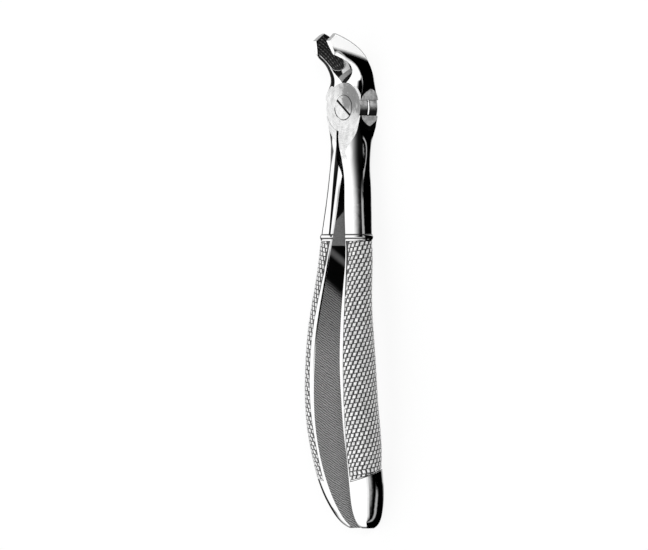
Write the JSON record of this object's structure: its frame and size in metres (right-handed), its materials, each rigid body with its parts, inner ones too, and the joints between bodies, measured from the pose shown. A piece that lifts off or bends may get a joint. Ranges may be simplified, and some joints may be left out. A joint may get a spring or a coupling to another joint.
{
  "type": "extraction forceps",
  "caption": "Hand tool with two knurled steel handles, a screwed lap joint and paired pointed beaks bent out of the plane of the handles, for gripping and lifting out lower molars.",
  "frame": {"origin": "On the hinge axis, on the flat back face of the lap joint.", "axes": "+X across the handles, towards the handle of front_half; +Y from the joint towards the beaks; +Z along the hinge axis, out through the head of the screw, which is the way the beaks bend. Rest pose: closed."},
  "size_m": [0.028, 0.1647, 0.0222],
  "materials": {
    "front_steel": "mirror polish with satin ground joint faces and a knurled grip",
    "back_steel": "mirror polish with satin ground joint faces and a knurled grip",
    "screw_steel": "satin, ground flush with the joint"
  },
  "bodies": {
    "front_lever": {"front_half": "front_steel"},
    "back_lever": {"back_half": "back_steel", "joint_screw": "screw_steel"}
  },
  "joints": [
    {"name": "lap_joint", "type": "hinge", "parent": "front_lever", "child": "back_lever", "pos_m": [0, 0, 0], "axis": [0, 0, -1], "range_deg": [0, 34]}
  ]
}
